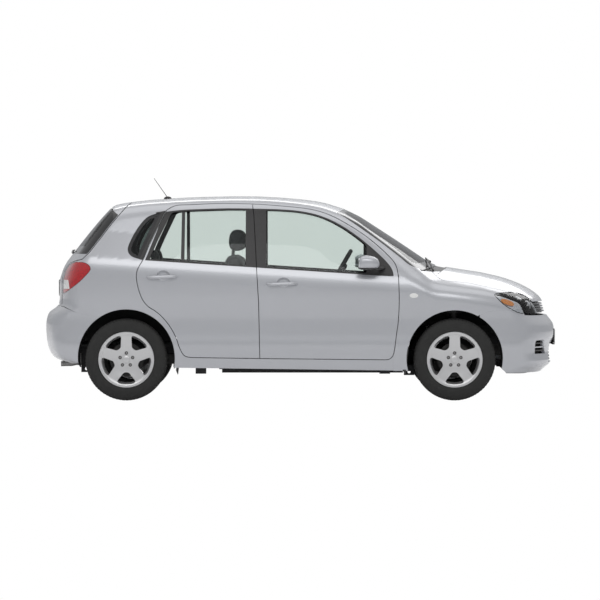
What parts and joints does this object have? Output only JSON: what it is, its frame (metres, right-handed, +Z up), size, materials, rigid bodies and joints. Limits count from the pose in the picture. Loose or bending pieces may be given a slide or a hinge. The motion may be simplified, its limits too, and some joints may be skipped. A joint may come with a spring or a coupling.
{
  "type": "five-door hatchback car",
  "caption": "Five-door hatchback car with opening doors, hood and tailgate, steered front wheels and a furnished hollow cabin.",
  "frame": {"origin": "on the ground, at mid length and mid width of the car", "axes": "+X forwards, +Y to the car's left, +Z up"},
  "size_m": [3.9311, 1.989, 1.707],
  "materials": {
    "body_paint": "silver metallic, clear coated",
    "black_trim": "matt black",
    "glass": "pale green tint",
    "dark_glass": "dark border and tint",
    "lamp_clear": "clear lens",
    "lamp_red": "red lens",
    "tyre": "rubber",
    "alloy": "silver painted cast alloy",
    "structure": "dark primer and underseal",
    "cast_iron": "dark",
    "steel": "dull steel",
    "cabin_plastic": "grained black",
    "seat_fabric": "woven charcoal"
  },
  "bodies": {
    "car_body": {"floor_pan": "structure", "chassis_rails": "structure", "lashing_eyes": "structure", "steering_column": "cabin_plastic", "firewall": "structure", "cowl_panel": "black_trim", "front_bumper": "body_paint", "rear_bumper": "body_paint", "grille": "black_trim", "fenders": "body_paint", "side_frames": "body_paint", "roof_panel": "body_paint", "windscreen": "glass", "quarter_glass": "dark_glass", "headlamps": "lamp_clear", "tail_lamps": "lamp_red", "arch_liners": "black_trim", "dashboard": "cabin_plastic", "front_seats": "seat_fabric", "rear_seat": "seat_fabric", "engine": "cast_iron", "front_suspension": "cast_iron", "rear_axle": "cast_iron", "exhaust": "steel", "fuel_tank": "steel", "antenna": "black_trim", "wipers": "black_trim"},
    "hood_lid": {"hood": "body_paint"},
    "tail_door": {"tailgate": "body_paint", "tailgate_glass": "dark_glass", "rear_wiper": "black_trim"},
    "front_left_door": {"front_door_left": "body_paint", "front_glass_left": "glass", "mirror_left": "body_paint"},
    "rear_left_door": {"rear_door_left": "body_paint", "rear_glass_left": "glass"},
    "front_right_door": {"front_door_right": "body_paint", "front_glass_right": "glass", "mirror_right": "body_paint"},
    "rear_right_door": {"rear_door_right": "body_paint", "rear_glass_right": "glass"},
    "front_left_knuckle": {"knuckle_left": "cast_iron"},
    "front_right_knuckle": {"knuckle_right": "cast_iron"},
    "steering_wheel_body": {"steering_wheel": "cabin_plastic"},
    "front_left_wheel": {"tyre_front_left": "tyre", "rim_front_left": "alloy"},
    "front_right_wheel": {"tyre_front_right": "tyre", "rim_front_right": "alloy"},
    "rear_left_wheel": {"tyre_rear_left": "tyre", "rim_rear_left": "alloy"},
    "rear_right_wheel": {"tyre_rear_right": "tyre", "rim_rear_right": "alloy"}
  },
  "joints": [
    {"name": "front_door_left_hinge", "type": "hinge", "parent": "car_body", "child": "front_left_door", "pos_m": [0.815, 0.83, 0.65], "axis": [0, 0, -1], "range_deg": [0, 65]},
    {"name": "rear_door_left_hinge", "type": "hinge", "parent": "car_body", "child": "rear_left_door", "pos_m": [-0.25, 0.83, 0.65], "axis": [0, 0, -1], "range_deg": [0, 68]},
    {"name": "front_door_right_hinge", "type": "hinge", "parent": "car_body", "child": "front_right_door", "pos_m": [0.815, -0.83, 0.65], "axis": [0, 0, 1], "range_deg": [0, 65]},
    {"name": "rear_door_right_hinge", "type": "hinge", "parent": "car_body", "child": "rear_right_door", "pos_m": [-0.25, -0.83, 0.65], "axis": [0, 0, 1], "range_deg": [0, 68]},
    {"name": "hood_hinge", "type": "hinge", "parent": "car_body", "child": "hood_lid", "pos_m": [1, 0, 0.985], "axis": [0, -1, 0], "range_deg": [0, 52]},
    {"name": "tailgate_hinge", "type": "hinge", "parent": "car_body", "child": "tail_door", "pos_m": [-1.255, 0, 1.49], "axis": [0, 1, 0], "range_deg": [0, 78]},
    {"name": "steer_left", "type": "hinge", "parent": "car_body", "child": "front_left_knuckle", "pos_m": [1.1675, 0.65, 0.311], "axis": [0, 0, 1], "range_deg": [-35, 35]},
    {"name": "steer_right", "type": "hinge", "parent": "car_body", "child": "front_right_knuckle", "pos_m": [1.1675, -0.65, 0.311], "axis": [0, 0, 1], "range_deg": [-35, 35]},
    {"name": "steering_wheel_turn", "type": "hinge", "parent": "car_body", "child": "steering_wheel_body", "pos_m": [0.3, -0.37, 0.985], "axis": [0.866, 0, -0.5], "range_deg": [-560, 560]},
    {"name": "front_left_wheel_spin", "type": "hinge", "parent": "front_left_knuckle", "child": "front_left_wheel", "pos_m": [1.1675, 0.734, 0.311], "axis": [0, 1, 0], "continuous": true},
    {"name": "front_right_wheel_spin", "type": "hinge", "parent": "front_right_knuckle", "child": "front_right_wheel", "pos_m": [1.1675, -0.734, 0.311], "axis": [0, 1, 0], "continuous": true},
    {"name": "rear_left_wheel_spin", "type": "hinge", "parent": "car_body", "child": "rear_left_wheel", "pos_m": [-1.3225, 0.734, 0.311], "axis": [0, 1, 0], "continuous": true},
    {"name": "rear_right_wheel_spin", "type": "hinge", "parent": "car_body", "child": "rear_right_wheel", "pos_m": [-1.3225, -0.734, 0.311], "axis": [0, 1, 0], "continuous": true}
  ],
  "couplings": [
    {"joint": "steer_right", "follows": "steer_left", "ratio": 1},
    {"joint": "steering_wheel_turn", "follows": "steer_left", "ratio": -16}
  ]
}
